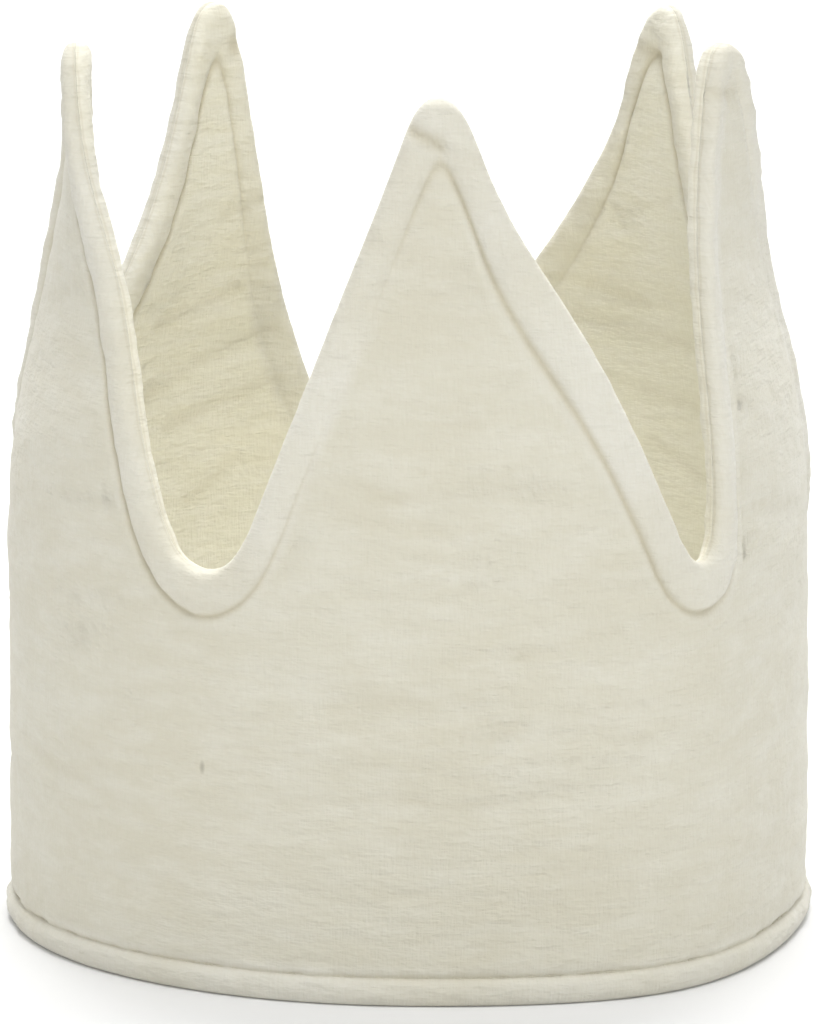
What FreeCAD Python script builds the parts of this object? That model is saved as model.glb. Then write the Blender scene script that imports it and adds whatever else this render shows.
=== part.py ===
"""Soft five-pointed crown, sewn from two fabric layers over a felt core.

Lengths are in millimetres and angles in degrees. The crown stands on its hem
with the floor at z = 0 and its axis on the z axis. The front faces -Y, and
angles around the crown grow from the front towards +X.
"""
import FreeCAD, Part
import math
import os
from collections import namedtuple

# Ring
BAND_RADIUS = 84.5
RIGHT_SWELL = 6.5
RIGHT_SWELL_ANGLE = 37.0
RIGHT_SWELL_SPREAD = 16.0
SIDE_SWELL = 0.5
SIDE_SWELL_ANGLE = 102.0
SIDE_SWELL_SPREAD = 10.0
LEFT_SWELL = 1.2
LEFT_SWELL_ANGLE = -68.0
LEFT_SWELL_SPREAD = 20.0

# Wall and its layers
WALL = 4.5
FABRIC = 0.8
LAYER_GAP = 0.1

# Lean of the points towards the axis: the height where half of it is reached,
# how much height it takes, and how far around each point's own lean is felt
LEAN_HEIGHT = 122.0
LEAN_SPREAD = 11.0
LEAN_SHARE_ANGLE = 28.0

# Rim: the turned seam allowance stands as a ridge along the points' edge
RIM_THICKNESS = 6.2
RIM_WIDTH = 7.4
RIM_WIDE_EXTRA = 2.2
RIM_WIDE_ANGLE = 25.0
RIM_WIDE_SPREAD = 13.0
GROOVE_DEPTH = 0.9
GROOVE_RUN = 1.8
TIP_RADIUS = 6.2
INNER_TIP_RADIUS = 1.5

# Hem: the same allowance turned up along the floor. The lining is cut a little
# short, so that only the outer fabric stands on the floor.
HEM_THICKNESS = 6.3
HEM_HEIGHT = 6.0
HEM_FOOT_INSET = 1.0
LINING_RISE = 0.6
HEM_THREAD = 0.5

# Heights of the outline, from the floor
TIP_HEIGHT = 189.6
NOTCH_HEIGHT = 88.0

# Notches, each between two points
Notch = namedtuple("Notch", "angle height radius")
FRONT_LEFT_NOTCH = Notch(-30.2, NOTCH_HEIGHT - 0.6, 10.5)
FRONT_RIGHT_NOTCH = Notch(43.2, NOTCH_HEIGHT - 0.8, 4.2)
RIGHT_NOTCH = Notch(99.0, NOTCH_HEIGHT + 1.0, 8.0)
BACK_NOTCH = Notch(191.0, NOTCH_HEIGHT + 1.0, 10.0)
LEFT_NOTCH = Notch(256.0, NOTCH_HEIGHT + 1.0, 8.0)

# Points. A side's bow is how far it bulges from the straight line between its
# notch and its tip, and its neck is how far it draws in below the tip. The
# twist is how far the tip's faces turn, as a slope.
Side = namedtuple("Side", "bow neck")
Lean = namedtuple("Lean", "amount middle_height spread")
CrownPoint = namedtuple("CrownPoint", "notch tip_angle tip_height lean twist left right")
FRONT = CrownPoint(
    notch=FRONT_LEFT_NOTCH,
    tip_angle=4.2,
    tip_height=TIP_HEIGHT - 3.2,
    lean=Lean(10.0, LEAN_HEIGHT, LEAN_SPREAD),
    twist=0.0,
    left=Side(1.6, 0.3),
    right=Side(3.6, 2.8),
)
RIGHT = CrownPoint(
    notch=FRONT_RIGHT_NOTCH,
    tip_angle=57.5,
    tip_height=TIP_HEIGHT + 3.0,
    lean=Lean(11.5, LEAN_HEIGHT + 8.0, LEAN_SPREAD + 2.0),
    twist=0.2,
    left=Side(3.0, 0.0),
    right=Side(3.5, 0.0),
)
BACK_RIGHT = CrownPoint(
    notch=RIGHT_NOTCH,
    tip_angle=127.0,
    tip_height=TIP_HEIGHT,
    lean=Lean(12.0, LEAN_HEIGHT, LEAN_SPREAD),
    twist=0.0,
    left=Side(-2.0, 0.0),
    right=Side(-9.0, 3.5),
)
BACK_LEFT = CrownPoint(
    notch=BACK_NOTCH,
    tip_angle=216.5,
    tip_height=TIP_HEIGHT - 1.2,
    lean=Lean(12.0, LEAN_HEIGHT, LEAN_SPREAD),
    twist=0.0,
    left=Side(-3.5, 0.0),
    right=Side(-5.0, 0.8),
)
LEFT = CrownPoint(
    notch=LEFT_NOTCH,
    tip_angle=291.5,
    tip_height=TIP_HEIGHT + 1.6,
    lean=Lean(9.3, LEAN_HEIGHT, LEAN_SPREAD),
    twist=0.36,
    left=Side(-1.0, 0.0),
    right=Side(-1.0, 2.2),
)
POINTS = (FRONT, RIGHT, BACK_RIGHT, BACK_LEFT, LEFT)
NECK_SHARE = 0.28
NECK_SPREAD = 0.10
TWIST_START = 135.0
TWIST_END = 185.0

# Fineness of the closed curves: spans along each flank, how much closer they
# stand at its two ends, and where rows cross the plain wall on the way down
FLANK_SPANS = 12
END_CROWDING = 0.3
FIELD_SHARES = (0.1, 0.2, 0.3, 0.42, 0.65)
SETTLING_ROUNDS = 12
THREAD_SIDES = 5
LEVEL_TOLERANCE = 1e-6

FULL_TURN = 360.0
HALF_TURN = FULL_TURN / 2.0
MM_PER_DEGREE = math.radians(BAND_RADIUS)
FIELD_HALF = WALL / 2.0
RIM_HALF = RIM_THICKNESS / 2.0
HEM_HALF = HEM_THICKNESS / 2.0
LAYER_FACE = LAYER_GAP / 2.0
FABRIC_BACK = FIELD_HALF - FABRIC
CORE_HALF = FABRIC_BACK - LAYER_GAP

# A row follows the rim or the hem at one distance, and stands out from the
# middle of the wall by one amount. Every layer has its first and last rows in
# the plain wall at the same two distances, where the grooves' far sides end,
# so that all the layers run side by side.
Row = namedtuple("Row", "distance out")
FIELD_TOP = RIM_WIDTH + GROOVE_RUN
FIELD_FOOT = HEM_HEIGHT + GROOVE_RUN

RIM_RIDGE = (
    Row(0.0, LAYER_FACE),
    Row(RIM_WIDTH * 0.08, RIM_HALF * 0.65),
    Row(RIM_WIDTH * 0.32, RIM_HALF),
    Row(RIM_WIDTH * 0.78, RIM_HALF * 0.97),
    Row(RIM_WIDTH, FIELD_HALF - GROOVE_DEPTH),
    Row(FIELD_TOP, FIELD_HALF),
)
HEM_ROLL = (
    Row(FIELD_FOOT, FIELD_HALF),
    Row(HEM_HEIGHT, FIELD_HALF - GROOVE_DEPTH),
    Row(HEM_HEIGHT * 0.77, HEM_HALF * 0.97),
    Row(HEM_HEIGHT * 0.5, HEM_HALF),
    Row(HEM_HEIGHT * 0.17, HEM_HALF * 0.9),
    Row(0.0, HEM_HALF - HEM_FOOT_INSET),
)
RIM_LINING = (
    Row(0.0, LAYER_FACE),
    Row(RIM_WIDTH * 0.4, LAYER_FACE),
    Row(RIM_WIDTH * 0.75, LAYER_FACE),
    Row(RIM_WIDTH + GROOVE_RUN / 3.0, LAYER_FACE),
    Row(FIELD_TOP, FABRIC_BACK),
)
HEM_LINING = (
    Row(FIELD_FOOT, FABRIC_BACK),
    Row(HEM_HEIGHT + GROOVE_RUN / 3.0, LAYER_FACE),
    Row(0.0, LAYER_FACE),
)


def swell(angle, size, middle, spread):
    """Return a smooth bump around the crown, largest at the middle angle."""
    away = (angle - middle + HALF_TURN) % FULL_TURN - HALF_TURN
    return size * math.exp(-0.5 * (away / spread) ** 2)


def plan_radius(angle):
    """Return the outside radius of the plain wall near the floor."""
    radius = BAND_RADIUS
    radius += swell(angle, RIGHT_SWELL, RIGHT_SWELL_ANGLE, RIGHT_SWELL_SPREAD)
    radius += swell(angle, SIDE_SWELL, SIDE_SWELL_ANGLE, SIDE_SWELL_SPREAD)
    radius += swell(angle, LEFT_SWELL, LEFT_SWELL_ANGLE, LEFT_SWELL_SPREAD)
    return radius


def lean(angle, height):
    """Return how far the wall has leaned towards the axis at a height."""
    weights = [swell(angle, 1.0, point.tip_angle, LEAN_SHARE_ANGLE) for point in POINTS]
    leaned = 0.0
    for weight, point in zip(weights, POINTS):
        above = (height - point.lean.middle_height) / point.lean.spread
        leaned += weight * point.lean.amount / (1.0 + math.exp(-above))
    return leaned / sum(weights)


def twist(angle, height):
    """Return how far a twisted tip turns the wall out of its plain curve."""
    share = (height - TWIST_START) / (TWIST_END - TWIST_START)
    share = min(max(share, 0.0), 1.0)
    moved = 0.0
    for point in POINTS:
        away = (angle - point.tip_angle + HALF_TURN) % FULL_TURN - HALF_TURN
        near = swell(angle, 1.0, point.tip_angle, LEAN_SHARE_ANGLE / 2.0)
        moved += point.twist * near * away * MM_PER_DEGREE
    return moved * share * share * (3.0 - 2.0 * share)


def wall_point(flat, height, out):
    """Return the place at a flat coordinate, height and distance from mid-wall."""
    angle = flat / MM_PER_DEGREE
    middle = plan_radius(angle) - FIELD_HALF - lean(angle, height) + twist(angle, height)
    radius = middle + out
    turn = math.radians(angle)
    return FreeCAD.Vector(radius * math.sin(turn), -radius * math.cos(turn), height)


def rim_spread(flat):
    """Return how many times its plain width the rim has at a flat coordinate."""
    angle = flat / MM_PER_DEGREE
    extra = swell(angle, RIM_WIDE_EXTRA, RIM_WIDE_ANGLE, RIM_WIDE_SPREAD)
    return 1.0 + extra / RIM_WIDTH


def unit(start, end):
    """Return the unit direction between two flat places."""
    length = math.dist(start, end)
    return (end[0] - start[0]) / length, (end[1] - start[1]) / length


def inward(direction):
    """Return the direction into the fabric beside a stretch of the outline."""
    return direction[1], -direction[0]


def rounded_corner(ring, corner_index, distance):
    """Return the centre, radius and the three angles of the arc at a corner.

    ring holds the corner between its two neighbours. The arc belongs to the
    outline moved into the fabric by the distance. The angles are those of its
    start, middle and end.
    """
    before, corner, after = ring
    arriving = unit(before, corner)
    leaving = unit(corner, after)
    in_1 = inward(arriving)
    in_2 = inward(leaving)
    together = in_1[0] * in_2[0] + in_1[1] * in_2[1]
    share = distance / (1.0 + together)
    moved = (corner[0] + (in_1[0] + in_2[0]) * share, corner[1] + (in_1[1] + in_2[1]) * share)
    into_fabric = math.atan2(in_1[1] + in_2[1], in_1[0] + in_2[0])
    half_turn = 0.5 * math.acos(together)
    if corner_index % 2 == 1:
        radius = max(TIP_RADIUS - distance, INNER_TIP_RADIUS)
        side = 1.0
    else:
        radius = POINTS[(corner_index // 2) % len(POINTS)].notch.radius + distance
        side = -1.0
    reach = side * radius / math.cos(half_turn)
    centre = (
        moved[0] + math.cos(into_fabric) * reach,
        moved[1] + math.sin(into_fabric) * reach,
    )
    middle = into_fabric + math.pi if side > 0.0 else into_fabric
    return centre, radius, middle + side * half_turn, middle, middle - side * half_turn


def arc_place(arc, angle):
    """Return the flat place on an arc at an angle."""
    centre, radius = arc[0], arc[1]
    return centre[0] + radius * math.cos(angle), centre[1] + radius * math.sin(angle)


def between(first, last, share):
    """Return the value that lies a share of the way between two values."""
    return first + (last - first) * share


def place_between(first, last, share):
    """Return the flat place a share of the way between two flat places."""
    return between(first[0], last[0], share), between(first[1], last[1], share)


def flank_place(first, last, share):
    """Return the place at a share of the length from one arc's middle to the next's."""
    leave = arc_place(first, first[4])
    reach = arc_place(last, last[2])
    first_length = first[1] * abs(first[4] - first[3])
    side_length = math.dist(leave, reach)
    last_length = last[1] * abs(last[3] - last[2])
    travelled = share * (first_length + side_length + last_length)
    if travelled < first_length:
        return arc_place(first, between(first[3], first[4], travelled / first_length))
    travelled -= first_length
    if travelled < side_length:
        return place_between(leave, reach, travelled / side_length)
    travelled -= side_length
    return arc_place(last, between(last[2], last[3], travelled / last_length))


def flank_shares():
    """Return the shares of a flank where its curves have a place, closer at the ends."""
    shares = []
    for step in range(FLANK_SPANS):
        even = step / FLANK_SPANS
        shares.append(even - END_CROWDING * math.sin(2.0 * math.pi * even) / (2.0 * math.pi))
    return shares


def flank_bulge(corner_index, share):
    """Return how far a flank lies beyond its straight line, a share of the way along.

    A flank that starts at a notch is a point's left side, and one that starts
    at a tip is a right side.
    """
    point = POINTS[corner_index // 2]
    rises = corner_index % 2 == 0
    side = point.left if rises else point.right
    from_tip = 1.0 - share if rises else share
    bulge = side.bow * math.sin(math.pi * share) ** 2
    bulge -= side.neck * math.exp(-0.5 * ((from_tip - NECK_SHARE) / NECK_SPREAD) ** 2)
    return -bulge if rises else bulge


def outline_corner(corners, index):
    """Return a corner by its number, which may run past either end."""
    turns, inside = divmod(index, len(corners))
    flat, height = corners[inside]
    return flat + turns * FULL_TURN * MM_PER_DEGREE, height


def outline_corners():
    """Return the sharp corners of the points' outline, notch and tip in turn.

    Each sharp corner is moved up or down until its rounded corner reaches the
    height that the point states.
    """
    flats = []
    wanted = []
    for point in POINTS:
        flats += [point.notch.angle * MM_PER_DEGREE, point.tip_angle * MM_PER_DEGREE]
        wanted += [point.notch.height, point.tip_height]
    heights = list(wanted)
    for _ in range(SETTLING_ROUNDS):
        corners = list(zip(flats, heights))
        for index in range(len(corners)):
            ring = [outline_corner(corners, index + step) for step in (-1, 0, 1)]
            centre, radius = rounded_corner(ring, index, 0.0)[:2]
            reached = centre[1] + radius if index % 2 == 1 else centre[1] - radius
            heights[index] += wanted[index] - reached
    return list(zip(flats, heights))


def flank_places(corners, index, distance):
    """Return the places along one flank, from one corner's middle to the next.

    The rim's width changes around the crown, so each place is worked out at
    its own distance from the outline.
    """
    ring = [outline_corner(corners, index + step) for step in (-1, 0, 1, 2)]
    places = []
    for share in flank_shares():
        reach = distance * rim_spread(between(ring[1][0], ring[2][0], share))
        first = rounded_corner(ring[:3], index, reach)
        last = rounded_corner(ring[1:], index + 1, reach)
        place = flank_place(first, last, share)
        places.append((place[0] + flank_bulge(index, share), place[1]))
    return places


def rim_row(distance):
    """Return the flat places all round at one distance from the points' edge."""
    corners = outline_corners()
    places = []
    for index in range(len(corners)):
        places.extend(flank_places(corners, index, distance))
    return places


def hem_row(height):
    """Return the flat places all round at one height, in step with the rim."""
    places = []
    for index, point in enumerate(POINTS):
        following = POINTS[(index + 1) % len(POINTS)]
        half_width = 0.5 * ((following.notch.angle - point.notch.angle) % FULL_TURN)
        for half in (0, 1):
            for share in flank_shares():
                angle = point.notch.angle + half_width * (half + share)
                places.append((angle * MM_PER_DEGREE, height))
    return places


def blend_rows(upper, lower, share):
    """Return the row that lies a share of the way down between two rows."""
    return [place_between(top, low, share) for top, low in zip(upper, lower)]


def lifted(places, out):
    """Return a row's places in space, at one distance from mid-wall."""
    return [wall_point(place[0], place[1], out) for place in places]


def face_rows(rim_profile, hem_profile, side):
    """Return one face's rows from the points' edge down to the hem.

    side is 1 for the outside of the wall and -1 for the inside.
    """
    rows = [lifted(rim_row(row.distance), side * row.out) for row in rim_profile]
    top = rim_row(rim_profile[-1].distance)
    foot = hem_row(hem_profile[0].distance)
    for share in FIELD_SHARES:
        rows.append(lifted(blend_rows(top, foot, share), side * rim_profile[-1].out))
    rows += [lifted(hem_row(row.distance), side * row.out) for row in hem_profile]
    return rows


def ruled_strip(upper, lower):
    """Return the faces between two rows: smooth around the crown, straight down.

    The strip is cut at each notch and each tip into one face for every flank.
    """
    around = len(upper)
    strip = Part.BSplineSurface()
    strip.buildFromPolesMultsKnots(
        [[top, low] for top, low in zip(upper, lower)],
        [1] * (around + 1),
        [2, 2],
        list(range(around + 1)),
        [0, 1],
        True,
        False,
        3,
        1,
    )
    faces = []
    for start in range(0, around, FLANK_SPANS):
        flank = strip.copy()
        flank.segment(start, start + FLANK_SPANS, 0, 1)
        faces.append(flank.toShape())
    return faces


def row_wire(row):
    """Return the closed curve along a row, cut at each notch and each tip."""
    around = len(row)
    curve = Part.BSplineCurve()
    curve.buildFromPolesMultsKnots(row, [1] * (around + 1), list(range(around + 1)), True, 3)
    edges = []
    for start in range(0, around, FLANK_SPANS):
        flank = curve.copy()
        flank.segment(start, start + FLANK_SPANS)
        edges.append(flank.toShape())
    return Part.Wire(edges)


def level_together(row, other):
    """Return whether two rows are level and at one height."""
    heights = [place.z for place in row + other]
    return max(heights) - min(heights) < LEVEL_TOLERANCE


def closed_solid(rows):
    """Return the solid inside a closed loop of rows, one strip to each pair.

    Between two level rows at one height the strip is one flat ring.
    """
    faces = []
    for index, row in enumerate(rows):
        if level_together(rows[index - 1], row):
            wires = [row_wire(rows[index - 1]), row_wire(row)]
            faces.append(Part.makeFace(wires, "Part::FaceMakerBullseye"))
        else:
            faces += ruled_strip(rows[index - 1], row)
    shell = Part.Shell(faces)
    shell.sewShape()
    solid = Part.Solid(shell)
    if solid.Volume < 0.0:
        solid.reverse()
    return solid


def standing_at(hem_profile, height):
    """Return a hem profile with its lowest row at a height."""
    return hem_profile[:-1] + (Row(height, hem_profile[-1].out),)


def fabric_panel(side, foot):
    """Return one fabric layer, thick where its allowance is turned in.

    The visible face carries the rim ridge and the hem roll. The hidden face
    steps back between them to make the pocket that holds the core. The layer
    ends at the height of its foot.
    """
    visible = face_rows(RIM_RIDGE, standing_at(HEM_ROLL, foot), side)
    hidden = face_rows(RIM_LINING, standing_at(HEM_LINING, foot), side)
    return closed_solid(visible + hidden[:0:-1])


def felt_core():
    """Return the core sheet, which fills the pocket between the two layers."""
    rim = (Row(FIELD_TOP, CORE_HALF),)
    hem = (Row(FIELD_FOOT, CORE_HALF),)
    return closed_solid(face_rows(rim, hem, 1) + face_rows(rim, hem, -1)[::-1])


def thread_ring(side):
    """Return the run of thread that lies in the hem groove on one side."""
    radius = HEM_THREAD / 2.0
    out = FIELD_HALF - GROOVE_DEPTH + HEM_THREAD
    rows = []
    for step in range(THREAD_SIDES):
        turn = math.radians(FULL_TURN * step / THREAD_SIDES)
        height = HEM_HEIGHT + radius * math.sin(turn)
        rows.append(lifted(hem_row(height), side * (out + radius * math.cos(turn))))
    return closed_solid(rows)


def main():
    """Build every piece and write each to its own file."""
    os.makedirs("parts", exist_ok=True)
    pieces = {
        "outer_panel": fabric_panel(1, 0.0),
        "lining_panel": fabric_panel(-1, LINING_RISE),
        "felt_core": felt_core(),
        "hem_thread": Part.makeCompound([thread_ring(1), thread_ring(-1)]),
    }
    for name, shape in pieces.items():
        box = shape.BoundBox
        print(name, "valid", shape.isValid(), "solids", len(shape.Solids), "volume", round(shape.Volume))
        print("  z", round(box.ZMin, 3), round(box.ZMax, 2), "x", round(box.XMin, 2), round(box.XMax, 2))
        shape.exportStep(os.path.join("parts", name + ".step"))


main()
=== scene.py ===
"""A soft five-pointed crown of crinkled gauze, standing on a pale studio floor.

The crown is two gauze layers sewn over a felt core. The layers are modelled
here, each over its plain solid, and sizes are in millimetres until a vertex is
placed. Angles are in degrees, from the front towards +X.
"""
from __future__ import annotations

import logging
import math
from collections.abc import Sequence
from dataclasses import dataclass, field
from enum import Enum

import bmesh
import bpy
import numpy as np
from mathutils import Matrix, Vector, noise

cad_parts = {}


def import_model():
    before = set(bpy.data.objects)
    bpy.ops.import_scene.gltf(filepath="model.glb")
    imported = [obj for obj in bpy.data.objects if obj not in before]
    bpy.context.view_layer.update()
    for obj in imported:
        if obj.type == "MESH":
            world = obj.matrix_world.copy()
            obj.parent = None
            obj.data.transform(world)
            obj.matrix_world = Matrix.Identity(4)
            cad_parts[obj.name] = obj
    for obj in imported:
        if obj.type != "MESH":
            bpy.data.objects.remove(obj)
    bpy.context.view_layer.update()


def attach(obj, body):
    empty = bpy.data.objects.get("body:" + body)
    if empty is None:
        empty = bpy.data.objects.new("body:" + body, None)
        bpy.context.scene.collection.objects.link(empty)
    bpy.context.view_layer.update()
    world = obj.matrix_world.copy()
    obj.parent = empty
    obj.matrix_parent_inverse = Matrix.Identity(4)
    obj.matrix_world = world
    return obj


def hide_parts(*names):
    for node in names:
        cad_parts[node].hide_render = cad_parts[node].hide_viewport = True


LOG = logging.getLogger("crown")
MM = 0.001
FULL_TURN = 360.0
TOUCHING = 1e-6

Place = tuple[float, float]
Triple = tuple[float, float, float]
Colour = tuple[float, float, float]
Socket = bpy.types.NodeSocket


class Layer(Enum):
    """The two fabric layers, by the way that each faces."""

    OUTER = 1.0
    LINING = -1.0


class Corner(Enum):
    """The two kinds of corner along the points' outline."""

    NOTCH = "notch"
    TIP = "tip"


def wrapped(angle: np.ndarray | float) -> np.ndarray | float:
    """Return an angle brought between -180 and 180 degrees."""
    return (angle + 180.0) % FULL_TURN - 180.0


def between(first: float, last: float, share: float) -> float:
    """Return the value a share of the way between two values."""
    return first + (last - first) * share


def eased(value: np.ndarray | float) -> np.ndarray | float:
    """Return a value from 0 to 1 with its two ends made gentle."""
    held = np.clip(value, 0.0, 1.0)
    return held * held * (3.0 - 2.0 * held)


@dataclass(frozen=True)
class Fade:
    """A gentle change from 0 to 1 that starts at a value and takes some length."""

    start: float
    length: float

    def at(self, value: np.ndarray | float) -> np.ndarray | float:
        """Return how far the change has come at a value."""
        return eased((value - self.start) / self.length)


@dataclass(frozen=True)
class Swell:
    """A smooth rise of some size around the crown."""

    size: float
    middle: float
    spread: float

    def at(self, angle: np.ndarray | float) -> np.ndarray | float:
        """Return the rise at an angle around the crown."""
        return self.size * np.exp(-0.5 * (wrapped(angle - self.middle) / self.spread) ** 2)


@dataclass(frozen=True)
class Side:
    """How one side of a point bulges and then draws in below its tip."""

    bow: float
    neck: float


@dataclass(frozen=True)
class CrownPoint:
    """One point of the crown, with the notch before it."""

    notch_angle: float
    notch_height: float
    notch_radius: float
    tip_angle: float
    tip_height: float
    lean: float
    lean_height: float
    lean_spread: float
    twist: float
    left: Side
    right: Side


@dataclass(frozen=True)
class Ring:
    """The crown's plan, wall and points, which both layers share."""

    band_radius: float = 84.5
    swells: tuple[Swell, ...] = (
        Swell(6.5, 37.0, 16.0),
        Swell(0.5, 102.0, 10.0),
        Swell(1.2, -68.0, 20.0),
    )
    wall: float = 4.5
    lean_share_angle: float = 28.0
    twist_rise: Fade = Fade(135.0, 50.0)
    points: tuple[CrownPoint, ...] = (
        CrownPoint(
            -30.2, 87.4, 10.5, 4.2, 186.4, 10.0, 122.0, 11.0, 0.0,
            Side(1.6, 0.3), Side(3.6, 2.8),
        ),
        CrownPoint(
            43.2, 87.2, 4.2, 57.5, 192.6, 11.5, 130.0, 13.0, 0.2,
            Side(3.0, 0.0), Side(3.5, 0.0),
        ),
        CrownPoint(
            99.0, 89.0, 8.0, 127.0, 189.6, 12.0, 122.0, 11.0, 0.0,
            Side(-2.0, 0.0), Side(-9.0, 3.5),
        ),
        CrownPoint(
            191.0, 89.0, 10.0, 216.5, 188.4, 12.0, 122.0, 11.0, 0.0,
            Side(-3.5, 0.0), Side(-5.0, 0.8),
        ),
        CrownPoint(
            256.0, 89.0, 8.0, 291.5, 191.2, 9.3, 122.0, 11.0, 0.36,
            Side(-1.0, 0.0), Side(-1.0, 2.2),
        ),
    )

    @property
    def per_degree(self) -> float:
        """The length of cloth for one degree around the band."""
        return math.radians(self.band_radius)

    @property
    def girth(self) -> float:
        """The length of cloth once around the band."""
        return FULL_TURN * self.per_degree

    def middle_radius(self, angle: np.ndarray, height: np.ndarray) -> np.ndarray:
        """Return the radius of the middle of the wall.

        Args:
            angle: Angles around the crown.
            height: Heights above the floor, one for each angle.

        Returns:
            The radii, with the lean and the twist of the points in them.
        """
        radius = self.band_radius - self.wall / 2.0 + sum(swell.at(angle) for swell in self.swells)
        weights = 0.0
        leaned = 0.0
        turned = 0.0
        rise = self.twist_rise.at(height)
        for point in self.points:
            weight = Swell(1.0, point.tip_angle, self.lean_share_angle).at(angle)
            near = Swell(1.0, point.tip_angle, self.lean_share_angle / 2.0).at(angle)
            weights = weights + weight
            leaned = leaned + weight * point.lean / (
                1.0 + np.exp(-(height - point.lean_height) / point.lean_spread)
            )
            away = wrapped(angle - point.tip_angle) * self.per_degree
            turned = turned + point.twist * near * away * rise
        return radius - leaned / weights + turned

    def lift(self, flat: np.ndarray, height: np.ndarray, out: np.ndarray) -> np.ndarray:
        """Return places in space, in metres, for places on the flat cloth.

        Args:
            flat: Lengths around the band.
            height: Heights above the floor.
            out: Distances from the middle of the wall, outwards.

        Returns:
            An array with one row of three coordinates for each place.
        """
        angle = flat / self.per_degree
        radius = self.middle_radius(angle, height) + out
        turn = np.radians(angle)
        return MM * np.stack([radius * np.sin(turn), -radius * np.cos(turn), height], axis=-1)


@dataclass(frozen=True)
class Arc:
    """A rounded corner of the outline on the flat cloth."""

    centre: Place
    radius: float
    start: float
    middle: float
    end: float

    def place(self, angle: float) -> Place:
        """Return the place on the arc at an angle in radians."""
        across, up = self.centre
        return across + self.radius * math.cos(angle), up + self.radius * math.sin(angle)


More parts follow.
